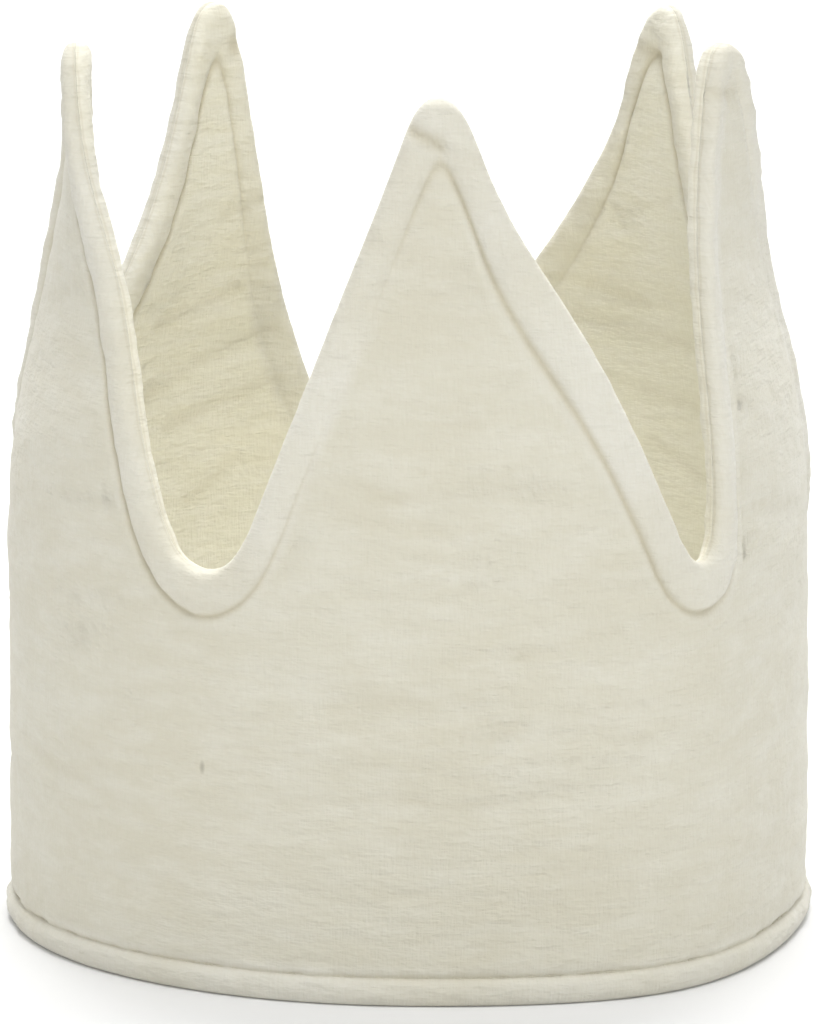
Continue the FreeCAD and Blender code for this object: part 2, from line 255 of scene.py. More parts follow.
@dataclass
class Outline:
    """The zigzag edge of the points, and rows of places that run beside it."""

    ring: Ring
    spans: int = 12
    crowding: float = 0.3
    steps: int = 5
    tip_radius: float = 6.2
    inner_tip_radius: float = 1.5
    neck_share: float = 0.28
    neck_spread: float = 0.10
    rim_width: float = 7.4
    settling_rounds: int = 12
    rim_extra: tuple[Swell, ...] = (
        Swell(2.2, 25.0, 12.0),
        Swell(1.9, -30.2, 2.2),
        Swell(1.6, 41.5, 2.2),
        Swell(-1.3, -48.0, 8.0),
        Swell(-2.7, 56.5, 7.5),
    )
    corners: list[Place] = field(default_factory=list)

    def __post_init__(self) -> None:
        """Move each sharp corner until its rounded corner has the right height."""
        flats: list[float] = []
        wanted: list[float] = []
        for point in self.ring.points:
            for angle in (point.notch_angle, point.tip_angle):
                flats.append(angle * self.ring.per_degree)
            wanted += [point.notch_height, point.tip_height]
        heights = list(wanted)
        for _ in range(self.settling_rounds):
            self.corners = list(zip(flats, heights))
            for index in range(len(flats)):
                arc = self.rounded([self.corner(index + step) for step in (-1, 0, 1)], index, 0.0)
                rise = arc.radius if self.kind(index) is Corner.TIP else -arc.radius
                heights[index] += wanted[index] - (arc.centre[1] + rise)
        self.corners = list(zip(flats, heights))

    def kind(self, index: int) -> Corner:
        """Return whether a corner is a notch or a tip."""
        return Corner.TIP if index % 2 else Corner.NOTCH

    def corner(self, index: int) -> Place:
        """Return a sharp corner by its number.

        Args:
            index: The corner's number, which may run past either end.

        Returns:
            The corner's place on the flat cloth.
        """
        turns, inside = divmod(index, len(self.corners))
        flat, height = self.corners[inside]
        return flat + turns * self.ring.girth, height

    def rounded(self, trio: Sequence[Place], index: int, distance: float) -> Arc:
        """Return the arc at a corner of the outline moved into the cloth.

        Args:
            trio: The sharp corner between its two neighbours.
            index: The corner's number.
            distance: How far the outline is moved.

        Returns:
            The arc that rounds the corner.
        """
        before, corner, after = (Vector(place) for place in trio)
        arriving = (corner - before).normalized()
        leaving = (after - corner).normalized()
        in_1 = Vector((arriving.y, -arriving.x))
        in_2 = Vector((leaving.y, -leaving.x))
        together = in_1.dot(in_2)
        moved = corner + (in_1 + in_2) * (distance / (1.0 + together))
        into_cloth = math.atan2(in_1.y + in_2.y, in_1.x + in_2.x)
        half_turn = 0.5 * math.acos(together)
        if self.kind(index) is Corner.TIP:
            radius = max(self.tip_radius - distance, self.inner_tip_radius)
            side = 1.0
            middle = into_cloth + math.pi
        else:
            point = self.ring.points[(index // 2) % len(self.ring.points)]
            radius = point.notch_radius + distance
            side = -1.0
            middle = into_cloth
        reach = side * radius / math.cos(half_turn)
        centre = (moved.x + math.cos(into_cloth) * reach, moved.y + math.sin(into_cloth) * reach)
        return Arc(centre, radius, middle + side * half_turn, middle, middle - side * half_turn)

    def flank_place(self, first: Arc, last: Arc, share: float) -> Place:
        """Return the place a share of the way along one flank.

        Args:
            first: The arc that the flank leaves, from its middle.
            last: The arc that it reaches, up to its middle.
            share: The share of the flank's length.

        Returns:
            The place on the flat cloth.
        """
        leave = first.place(first.end)
        reach = last.place(last.start)
        first_length = first.radius * abs(first.end - first.middle)
        side_length = math.dist(leave, reach)
        last_length = last.radius * abs(last.middle - last.start)
        travelled = share * (first_length + side_length + last_length)
        if travelled < first_length:
            return first.place(between(first.middle, first.end, travelled / first_length))
        travelled -= first_length
        if travelled < side_length:
            part = travelled / side_length
            return between(leave[0], reach[0], part), between(leave[1], reach[1], part)
        travelled -= side_length
        return last.place(between(last.start, last.middle, travelled / last_length))

    def shares(self) -> list[float]:
        """Return the shares of a flank where its curve has a place."""
        steps = [step / self.spans for step in range(self.spans)]
        return [even - self.crowding * math.sin(math.tau * even) / math.tau for even in steps]

    def bulge(self, index: int, share: float) -> float:
        """Return how far a flank lies beyond its straight line.

        Args:
            index: The number of the corner that the flank leaves.
            share: The share of the flank's length.

        Returns:
            The length to the side, on the flat cloth.
        """
        point = self.ring.points[index // 2]
        rises = self.kind(index) is Corner.NOTCH
        side = point.left if rises else point.right
        from_tip = 1.0 - share if rises else share
        out = side.bow * math.sin(math.pi * share) ** 2
        out -= side.neck * math.exp(-0.5 * ((from_tip - self.neck_share) / self.neck_spread) ** 2)
        return -out if rises else out

    def rim_row(self, distance: float) -> np.ndarray:
        """Return the fine row at one distance from the points' edge.

        Args:
            distance: The distance where the rim has its plain width.

        Returns:
            An array of flat lengths and heights.
        """
        places: list[Place] = []
        for index in range(len(self.corners)):
            four = [self.corner(index + step) for step in (-1, 0, 1, 2)]
            for share in self.shares():
                angle = between(four[1][0], four[2][0], share) / self.ring.per_degree
                extra = sum(float(swell.at(angle)) for swell in self.rim_extra)
                reach = distance * (1.0 + extra / self.rim_width)
                first = self.rounded(four[:3], index, reach)
                last = self.rounded(four[1:], index + 1, reach)
                flat, height = self.flank_place(first, last, share)
                places.append((flat + self.bulge(index, share), height))
        return self.refined(places)

    def hem_row(self, height: float) -> np.ndarray:
        """Return the fine row at one height, in step with the rim's rows.

        Args:
            height: The height above the floor.

        Returns:
            An array of flat lengths and heights.
        """
        places: list[Place] = []
        points = self.ring.points
        for index, point in enumerate(points):
            following = points[(index + 1) % len(points)]
            half_width = 0.5 * ((following.notch_angle - point.notch_angle) % FULL_TURN)
            for half in (0, 1):
                for share in self.shares():
                    angle = point.notch_angle + half_width * (half + share)
                    places.append((angle * self.ring.per_degree, height))
        return self.refined(places)

    def refined(self, places: Sequence[Place]) -> np.ndarray:
        """Return a row's places smoothed, by a cubic B-spline, and made closer.

        Args:
            places: The places that steer the row, once around.

        Returns:
            An array of flat lengths and heights, with the first place again at
            its end, one girth further on.
        """
        steer = np.array(places)
        girth = np.array([self.ring.girth, 0.0])
        ring = np.concatenate([steer[-1:] - girth, steer, steer[:2] + girth])
        step = np.arange(self.steps)[:, None, None] / self.steps
        weights = (
            (1.0 - step) ** 3 / 6.0,
            (3.0 * step**3 - 6.0 * step**2 + 4.0) / 6.0,
            (-3.0 * step**3 + 3.0 * step**2 + 3.0 * step + 1.0) / 6.0,
            step**3 / 6.0,
        )
        count = len(steer)
        parts = sum(weight * ring[None, at : at + count] for at, weight in enumerate(weights))
        fine = parts.transpose(1, 0, 2).reshape(-1, 2)
        return np.concatenate([fine, fine[:1] + girth])


@dataclass(frozen=True)
class Crease:
    """A short pressed line in the cloth, between two places on the flat cloth."""

    start: Place
    end: Place
    width: float
    depth: float

    def at(self, flat: np.ndarray, height: np.ndarray) -> np.ndarray:
        """Return how deep the crease is at places on the flat cloth.

        Args:
            flat: The places' flat lengths.
            height: The places' heights.

        Returns:
            The depths in millimetres, one for each place.
        """
        run = np.array([self.end[0] - self.start[0], self.end[1] - self.start[1]])
        length = float(np.hypot(*run))
        along = ((flat - self.start[0]) * run[0] + (height - self.start[1]) * run[1]) / length**2
        nearest = np.clip(along, 0.0, 1.0)
        away = np.hypot(
            flat - self.start[0] - nearest * run[0], height - self.start[1] - nearest * run[1]
        )
        return self.depth * np.exp(-0.5 * (away / self.width) ** 2)


@dataclass(frozen=True)
class Grain:
    """The size of a noise's grains, and what sets it apart from other noises."""

    around: float
    rise: float
    shift: float

    def at(self, place: Vector, seed: float) -> float:
        """Return a smooth noise from -1 to 1.

        Args:
            place: The place in space, in millimetres.
            seed: What sets one layer's crinkle apart from the other's.

        Returns:
            The noise's value.
        """
        across = place.x / self.around + self.shift
        deep = place.y / self.around - self.shift
        return noise.noise(Vector((across, deep, place.z / self.rise + seed)))


@dataclass(frozen=True)
class Crinkle:
    """The soft folds and pressed lines that washing leaves in gauze."""

    seed: float
    slack: float = 0.34
    fold: float = 0.44
    line: float = 0.50
    fine: float = 0.10
    pucker: float = 0.52
    wide_pucker: float = 0.6
    deepest: float = 0.52
    rising: float = 0.0
    drift: float = 6.0
    line_presence: float = 0.35
    line_contrast: float = 1.7
    line_sharpness: float = 6.0
    drift_grain: Grain = Grain(45.0, 40.0, 3.0)
    slack_grain: Grain = Grain(30.0, 34.0, 11.0)
    fold_grain: Grain = Grain(30.0, 7.0, 0.0)
    presence_grain: Grain = Grain(30.0, 13.0, 7.0)
    line_grain: Grain = Grain(26.0, 5.4, 19.0)
    fine_grain: Grain = Grain(10.0, 2.6, 5.0)
    pucker_grain: Grain = Grain(3.4, 3.4, 2.0)
    wide_pucker_grain: Grain = Grain(7.0, 7.0, 8.0)

    def relief(self, place: Vector, field_share: float) -> float:
        """Return how far the cloth stands out of its plain face.

        Args:
            place: The place in space, in millimetres.
            field_share: 1 on the plain wall, falling to 0 on the rim and hem.

        Returns:
            The relief in millimetres, outwards.
        """
        seed = self.seed
        drift = self.drift * self.drift_grain.at(place, seed) - self.rising * place.x
        drifted = Vector((place.x, place.y, place.z + drift))
        presence = self.line_presence + self.line_contrast * self.presence_grain.at(place, seed)
        strength = min(1.0, max(0.0, presence))
        near_line = 1.0 - self.line_sharpness * abs(self.line_grain.at(drifted, seed))
        line = max(0.0, near_line) ** 2
        plain = self.slack * self.slack_grain.at(place, seed)
        plain += self.fold * self.fold_grain.at(drifted, seed)
        plain += self.fine * self.fine_grain.at(drifted, seed)
        plain -= self.line * strength * line
        wide = self.wide_pucker * self.wide_pucker_grain.at(place, seed)
        puckered = self.pucker * (self.pucker_grain.at(place, seed) + wide)
        out = field_share * plain + (1.0 - field_share) * puckered
        return out if out > 0.0 else -self.deepest * (1.0 - math.exp(out / self.deepest))


@dataclass
class GauzeLayer:
    """One layer of the crown, with its rim, hem, creases and crinkles.

    A section pairs a distance from the edge, or a height, with how far the face
    lies from mid-wall there. The edge and hem values for shade, and the blend and
    groove values, only set the painted shade: a darker colour where the cloth lies low.
    """

    name: str
    layer: Layer
    outline: Outline
    crinkle: Crinkle
    creases: tuple[Crease, ...] = ()
    faint: tuple[Swell, ...] = ()
    rim_section: tuple[Place, ...] = (
        (0.06, 0.02), (0.03, 0.22), (0.0, 0.5), (0.03, 0.95), (0.16, 1.5),
        (0.42, 2.0), (0.82, 2.42), (1.35, 2.76), (2.05, 3.0), (2.9, 3.12),
        (3.8, 3.12), (4.7, 3.06), (5.5, 2.92), (6.1, 2.68), (6.6, 2.34),
        (7.0, 1.88), (7.3, 1.5), (7.55, 1.42), (7.85, 1.66), (8.3, 2.04),
        (9.0, 2.2), (10.2, 2.25),
    )
    hem_section: tuple[Place, ...] = (
        (9.0, 2.25), (7.9, 2.25), (7.2, 2.2), (6.75, 2.05), (6.4, 1.8), (6.15, 1.6),
        (5.95, 1.56), (5.75, 1.75), (5.45, 2.2), (5.0, 2.65), (4.3, 3.0), (3.4, 3.15),
        (2.5, 3.12), (1.7, 2.95), (1.0, 2.65), (0.45, 2.2), (0.12, 1.7), (0.0, 1.2), (0.0, 0.05),
    )
    hidden_rim: tuple[Place, ...] = ((1.7, 0.05), (4.6, 0.05), (8.0, 0.05), (9.2, 1.2))
    hidden_hem: tuple[Place, ...] = ((7.8, 1.2), (6.6, 0.05), (3.0, 0.05))
    hidden_field_rows: int = 15
    field_rows: int = 100
    rise: float = 0.0
    rim_fade: Fade = Fade(7.4, 2.8)
    hem_fade: Fade = Fade(6.3, 3.0)
    foot_fade: float = 3.0
    crest_fade: Fade = Fade(2.8, 6.4)
    crest: int = 9
    edge_reach: float = 2.0
    edge_shade: float = 0.12
    edge_out: float = 0.6
    edge_blend: float = 0.5
    groove_out: float = 2.2
    groove_blend: float = 0.7
    hem_shade: float = 0.5
    plain_out: float = 0.3
    full_crease: float = 1.3
    weave_unit: float = 100.0

    def visible_rows(self) -> list[tuple[np.ndarray, float, float]]:
        """Return the rows of the face that shows, from the edge to the floor.

        Returns:
            For each row its places, its distance from mid-wall, and how much of
            the crinkle it takes.
        """
        rows = []
        for distance, out in self.rim_section:
            share = float(self.rim_fade.at(distance))
            rows.append((self.outline.rim_row(distance), out, share))
        top = rows[-1][0]
        foot = self.outline.hem_row(self.hem_section[0][0])
        for step in range(1, self.field_rows):
            share = step / self.field_rows
            rows.append((top + (foot - top) * share, self.rim_section[-1][1], 1.0))
        for height, out in self.hem_section:
            share = float(self.hem_fade.at(height))
            rows.append((self.outline.hem_row(max(height, self.rise)), out, share))
        return rows

    def hidden_rows(self) -> list[tuple[np.ndarray, float, float]]:
        """Return the rows of the face inside the wall, from the floor to the edge.

        Returns:
            The same three values for each row as the visible rows have.
        """
        rows = [(self.outline.rim_row(distance), out, 0.0) for distance, out in self.hidden_rim]
        top = rows[-1][0]
        foot = self.outline.hem_row(self.hidden_hem[0][0])
        for step in range(1, self.hidden_field_rows):
            share = step / self.hidden_field_rows
            rows.append((top + (foot - top) * share, self.hidden_rim[-1][1], 0.0))
        rows += [(self.outline.hem_row(height), out, 0.0) for height, out in self.hidden_hem]
        return rows[::-1]

    def relief(
        self, flat: np.ndarray, height: np.ndarray, share: float, plain: np.ndarray
    ) -> np.ndarray:
        """Return the crinkle and creases along one visible row.

        Args:
            flat: Flat lengths along the row.
            height: Heights along the row.
            share: How much of the crinkle the row takes.
            plain: The row's plain places in space, in metres.

        Returns:
            Distances outwards from the plain face, in millimetres.
        """
        lifts = np.array([self.crinkle.relief(Vector(place) / MM, share) for place in plain])
        return (lifts - self.pressed(flat, height)) * Fade(self.rise, self.foot_fade).at(height)

    def pressed(self, flat: np.ndarray, height: np.ndarray) -> np.ndarray:
        """Return how deep the creases press the cloth along a row.

        Args:
            flat: Flat lengths along the row.
            height: Heights along the row.

        Returns:
            The depths in millimetres, one for each place.
        """
        depth = np.zeros(len(flat))
        for crease in self.creases:
            for turn in (-1, 0, 1):
                depth = depth + crease.at(flat + turn * self.outline.ring.girth, height)
        return depth

    def painted_shade(self, distance: float, share: float, outs: np.ndarray) -> np.ndarray:
        """Return the painted shade of one row's places, from 0 to 1: a darker colour where they
        lie deep in a seam or groove.

        Args:
            distance: The row's distance from the points' edge, or 0 below the rim.
            share: How much of the crinkle the row takes.
            outs: The places' distances from mid-wall.

        Returns:
            The depths, one for each place.
        """
        # Painted shade: the seam at the edge and the grooves of the rim and hem are coloured
        # darker where the cloth lies low.
        if 0.0 < distance < self.edge_reach:
            return self.edge_shade * np.clip((self.edge_out - outs) / self.edge_blend, 0.0, 1.0)
        groove = np.clip((self.groove_out - outs) / self.groove_blend, 0.0, 1.0)
        strength = self.hem_shade if distance == 0.0 else 1.0
        return groove * strength if share < 1.0 else 0.0 * outs

    def build(self) -> bpy.types.Object:
        """Return the layer as one closed piece of cloth.

        Returns:
            The new object, not dressed yet.
        """
        side = self.layer.value
        ring = self.outline.ring
        places: list[np.ndarray] = []
        shading: list[np.ndarray] = []
        inner: list[np.ndarray] = []
        flats: list[np.ndarray] = []
        for index, (row, out, share) in enumerate(self.visible_rows()):
            flat, height = row[:, 0], row[:, 1]
            distance = self.rim_section[index][0] if index < len(self.rim_section) else 0.0
            outs = self.softened(distance, flat, out)
            plain = ring.lift(flat, height, side * outs)
            crinkled = out > self.plain_out
            lifts = self.relief(flat, height, share, plain) if crinkled else 0.0 * flat
            # Painted shade: the creases, and the low places of the seams, are coloured darker by
            # how deep they lie.
            crease_shade = np.clip(self.pressed(flat, height) / self.full_crease, 0.0, 1.0)
            places.append(ring.lift(flat, height, side * (outs + lifts)))
            shading.append(np.maximum(self.painted_shade(distance, share, outs), crease_shade))
            inner.append(np.full(len(flat), share))
            flats.append(row)
        for row, out, _ in self.hidden_rows():
            places.append(ring.lift(row[:, 0], row[:, 1], np.full(len(row), side * out)))
            shading.append(np.zeros(len(row)))
            inner.append(np.zeros(len(row)))
            flats.append(row)
        for rows in (places, shading, inner, flats):
            rows.append(rows[0])
        return self.woven(np.array(places), np.array(shading), np.array(inner), np.array(flats))

    def softened(self, distance: float, flat: np.ndarray, out: float) -> np.ndarray:
        """Return a visible row's distances from mid-wall.

        Where the rim's groove is faint, the rim falls to the wall in one slope.

        Args:
            distance: The row's distance from the points' edge, or 0 below the rim.
            flat: Flat lengths along the row.
            out: The row's plain distance from mid-wall.

        Returns:
            The distances, one for each place.
        """
        outs = np.full(len(flat), out)
        if distance > self.edge_reach:
            fall = float(self.crest_fade.at(distance))
            top, foot = self.rim_section[self.crest][1], self.rim_section[-1][1]
            slope = top * (1.0 - fall) + foot * fall
            angle = flat / self.outline.ring.per_degree
            faint = sum((swell.at(angle) for swell in self.faint), np.zeros(len(flat)))
            outs = outs + (slope - outs) * np.clip(faint, 0.0, 1.0)
        return outs

    def woven(
        self, places: np.ndarray, shading: np.ndarray, inner: np.ndarray, flats: np.ndarray
    ) -> bpy.types.Object:
        """Return the piece whose grid of vertices goes to the places given.

        Args:
            places: Places in space by row and column, closed both ways.
            shading: How much painted shade each place takes, where it lies deep in a seam, a
                groove or a crease, from 0 to 1.
            inner: How far each place is from the rim and hem, from 0 to 1.
            flats: The flat cloth's coordinates, for the weave.

        Returns:
            The new object, with its weave map and its two attributes.
        """
        cloth = bmesh.new()
        thread_and_shade = cloth.verts.layers.float.new("painted_shade")
        field_layer = cloth.verts.layers.float.new("field_share")
        weave = cloth.loops.layers.uv.new("weave")
        spots = spread_grid(cloth, places)
        for vertex, (row, column) in spots.items():
            vertex[thread_and_shade] = shading[row, column]
            vertex[field_layer] = inner[row, column]
        for face in cloth.faces:
            for loop in face.loops:
                flat, height = flats[spots[loop.vert]]
                loop[weave].uv = (flat / self.weave_unit, height / self.weave_unit)
        sew_up(cloth)
        return finished(cloth, self.name)


@dataclass
class FeltCore:
    """The stiff felt sheet inside the wall, cut clear of both layers' seams."""

    outline: Outline
    half_thickness: float = 0.95
    top_rows: tuple[float, ...] = (10.2, 10.9, 12.2)
    foot_rows: tuple[float, ...] = (10.6, 9.2, 8.4)
    field_rows: int = 24

    def build(self) -> bpy.types.Object:
        """Return the core as one closed sheet.

        Returns:
            The new object, not dressed yet.
        """
        rows = [self.outline.rim_row(distance) for distance in self.top_rows]
        foot = [self.outline.hem_row(height) for height in self.foot_rows]
        steps = [step / self.field_rows for step in range(1, self.field_rows)]
        rows += [rows[-1] + (foot[0] - rows[-1]) * step for step in steps] + foot
        places = [
            self.outline.ring.lift(row[:, 0], row[:, 1], side * self.half_thickness)
            for side, face in ((1.0, rows), (-1.0, rows[::-1]))
            for row in face
        ]
        places.append(places[0])
        sheet = bmesh.new()
        spread_grid(sheet, np.array(places))
        sew_up(sheet)
        return finished(sheet, "felt_core_sheet")


@dataclass
class HemStitches:
    """The running stitch that lies deep in the hem's groove, inside and out.

    A stitch is turned towards the place a share of the pitch ahead of it.
    """

    ring: Ring
    height: float = 6.0
    out: float = 1.52
    pitch: float = 3.1
    length: float = 2.2
    thread: float = 0.32
    sides: int = 6
    ahead: float = 0.1

    def build(self) -> bpy.types.Object:
        """Return both rows of stitches as one piece.

        Returns:
            The new object, not dressed yet.
        """
        bundle = bmesh.new()
        count = round(self.ring.girth / self.pitch)
        for side in (1.0, -1.0):
            for index in range(count):
                flat = np.array([index, index + self.ahead]) * self.ring.girth / count
                ends = self.ring.lift(flat, np.full(2, self.height), np.full(2, side * self.out))
                along = Vector(ends[1] - ends[0]).normalized()
                turn = along.to_track_quat("Z", "Y").to_matrix().to_4x4()
                bmesh.ops.create_cone(
                    bundle,
                    cap_ends=True,
                    segments=self.sides,
                    radius1=self.thread * MM / 2.0,
                    radius2=self.thread * MM / 2.0,
                    depth=self.length * MM,
                    matrix=Matrix.Translation(Vector(ends[0])) @ turn,
                )
        bmesh.ops.recalc_face_normals(bundle, faces=bundle.faces)
        return finished(bundle, "hem_stitches")


def spread_grid(
    cloth: bmesh.types.BMesh, places: np.ndarray
) -> dict[bmesh.types.BMVert, tuple[int, int]]:
    """Make a grid in an empty shape and move its vertices to the places given.

    Args:
        cloth: The shape that gets the grid.
        places: Places in space, in metres, by row and column.

    Returns:
        The row and column of each vertex.
    """
    rows, columns = places.shape[0] - 1, places.shape[1] - 1
    half = 0.5
    bmesh.ops.create_grid(cloth, x_segments=columns, y_segments=rows, size=half)
    spots = {
        vertex: (round((vertex.co.y + half) * rows), round((vertex.co.x + half) * columns))
        for vertex in cloth.verts
    }
    for vertex, spot in spots.items():
        vertex.co = places[spot]
    return spots


def sew_up(cloth: bmesh.types.BMesh) -> None:
    """Join a grid's meeting ends, turn its faces outwards and smooth them.

    Args:
        cloth: The shape, which is changed in place.
    """
    bmesh.ops.remove_doubles(cloth, verts=cloth.verts, dist=TOUCHING)
    bmesh.ops.recalc_face_normals(cloth, faces=cloth.faces)
    for face in cloth.faces:
        face.smooth = True


def finished(shape: bmesh.types.BMesh, name: str) -> bpy.types.Object:
    """Return a new object in the scene that holds a shape.

    Args:
        shape: The mesh being built, which is freed here.
        name: The object's name.

    Returns:
        The object, at the origin.
    """
    mesh = bpy.data.meshes.new(name)
    shape.to_mesh(mesh)
    shape.free()
    piece = bpy.data.objects.new(name, mesh)
    bpy.context.collection.objects.link(piece)
    return piece


def linear(red: int, green: int, blue: int) -> Colour:
    """Return a screen's colour, from 0 to 255, as light, by the sRGB curve."""
    parts = [value / 255.0 for value in (red, green, blue)]
    return tuple(p / 12.92 if p <= 0.04045 else ((p + 0.055) / 1.055) ** 2.4 for p in parts)


@dataclass(frozen=True)
class Spread:
    """How a noise becomes a share: none at one value, and the most at another."""

    none_at: float
    most_at: float
    most: float


@dataclass
class NodeBoard:
    """A material's nodes, with short ways to add and join them."""

    material: bpy.types.Material

    @classmethod
    def named(cls, name: str) -> NodeBoard:
        """Return the board of a new empty material.

        Args:
            name: The material's name.

        Returns:
            The board, with no nodes on it.
        """
        material = bpy.data.materials.new(name)
        material.use_nodes = True
        material.node_tree.nodes.clear()
        return cls(material)

    def add(self, kind: str, **settings: object) -> bpy.types.Node:
        """Return a new node of a kind.

        Args:
            kind: Blender's name for the kind of node.
            **settings: The node's plain settings, by name.

        Returns:
            The node, with its settings made.
        """
        node = self.material.node_tree.nodes.new(kind)
        for name, value in settings.items():
            setattr(node, name, value)
        return node

    def join(self, output: Socket, entry: Socket) -> None:
        """Join one node's output to another's input."""
        self.material.node_tree.links.new(output, entry)

    def noise(self, source: Socket, stretch: Triple, detail: float) -> Socket:
        """Return a noise whose grain is stretched along the three axes.

        Args:
            source: The coordinates that it reads.
            stretch: Grains for each unit of the coordinates, along each axis.
            detail: How many finer layers it has.

        Returns:
            The noise's value, from 0 to 1.
        """
        mapping = self.add("ShaderNodeMapping")
        mapping.inputs["Scale"].default_value = stretch
        self.join(source, mapping.inputs["Vector"])
        grain = self.add("ShaderNodeTexNoise")
        grain.inputs["Scale"].default_value = 1.0
        grain.inputs["Detail"].default_value = detail
        grain.inputs["Roughness"].default_value = 0.55
        self.join(mapping.outputs["Vector"], grain.inputs["Vector"])
        return grain.outputs["Fac"]

    def ramp(self, source: Socket, low: float, high: float) -> Socket:
        """Return a value spread from 0 at a low mark to 1 at a high mark.

        Args:
            source: The value.
            low: Where the result is 0, which may be the larger mark.
            high: Where the result is 1.

        Returns:
            The spread value.
        """
        spread = self.add("ShaderNodeMapRange")
        spread.inputs["From Min"].default_value = low
        spread.inputs["From Max"].default_value = high
        self.join(source, spread.inputs["Value"])
        return spread.outputs["Result"]

    def times(self, first: Socket, second: Socket | float) -> Socket:
        """Return the product of two values.

        Args:
            first: The first value.
            second: The second value, or a plain number.

        Returns:
            The product.
        """
        node = self.add("ShaderNodeMath", operation="MULTIPLY")
        self.join(first, node.inputs[0])
        if isinstance(second, float):
            node.inputs[1].default_value = second
        else:
            self.join(second, node.inputs[1])
        return node.outputs["Value"]

    def share(self, source: Socket, spread: Spread) -> Socket:
        """Return a noise made the share of a colour."""
        return self.times(self.ramp(source, spread.none_at, spread.most_at), spread.most)

    def tint(self, share: Socket, base: Socket | Colour, other: Colour) -> Socket:
        """Return a colour mixed towards another by a share.

        Args:
            share: How much of the other colour shows, from 0 to 1.
            base: The colour where the share is 0.
            other: The colour where the share is 1.

        Returns:
            The mixed colour.
        """
        mix = self.add("ShaderNodeMix", data_type="RGBA")
        self.join(share, mix.inputs["Factor"])
        if isinstance(base, tuple):
            mix.inputs["A"].default_value = (*base, 1.0)
        else:
            self.join(base, mix.inputs["A"])
        mix.inputs["B"].default_value = (*other, 1.0)
        return mix.outputs["Result"]

    def bump(
        self, height: Socket, distance: float, strength: float, below: Socket | None = None
    ) -> Socket:
        """Return a surface direction roughened by a height.

        Args:
            height: The height, from 0 to 1.
            distance: How far, in metres, a height of 1 stands out.
            strength: The share of the roughening that shows.
            below: A surface direction that is roughened further.

        Returns:
            The surface direction.
        """
        node = self.add("ShaderNodeBump")
        node.inputs["Strength"].default_value = strength
        node.inputs["Distance"].default_value = distance
        self.join(height, node.inputs["Height"])
        if below is not None:
            self.join(below, node.inputs["Normal"])
        return node.outputs["Normal"]

    def close(
        self, colour: Socket, normal: Socket, rough: float, sheen: float
    ) -> bpy.types.Material:
        """Finish the board with a matte cloth surface.

        Args:
            colour: The cloth's colour.
            normal: The surface direction.
            rough: How matte the cloth is, from 0 to 1.
            sheen: How much its loose fibres catch the light, from 0 to 1.

        Returns:
            The board's material.
        """
        cloth = self.add("ShaderNodeBsdfPrincipled")
        cloth.inputs["Roughness"].default_value = rough
        cloth.inputs["Specular IOR Level"].default_value = 0.2
        cloth.inputs["Sheen Weight"].default_value = sheen
        cloth.inputs["Sheen Roughness"].default_value = 0.6
        output = self.add("ShaderNodeOutputMaterial")
        self.join(colour, cloth.inputs["Base Color"])
        self.join(normal, cloth.inputs["Normal"])
        self.join(cloth.outputs["BSDF"], output.inputs["Surface"])
        return self.material


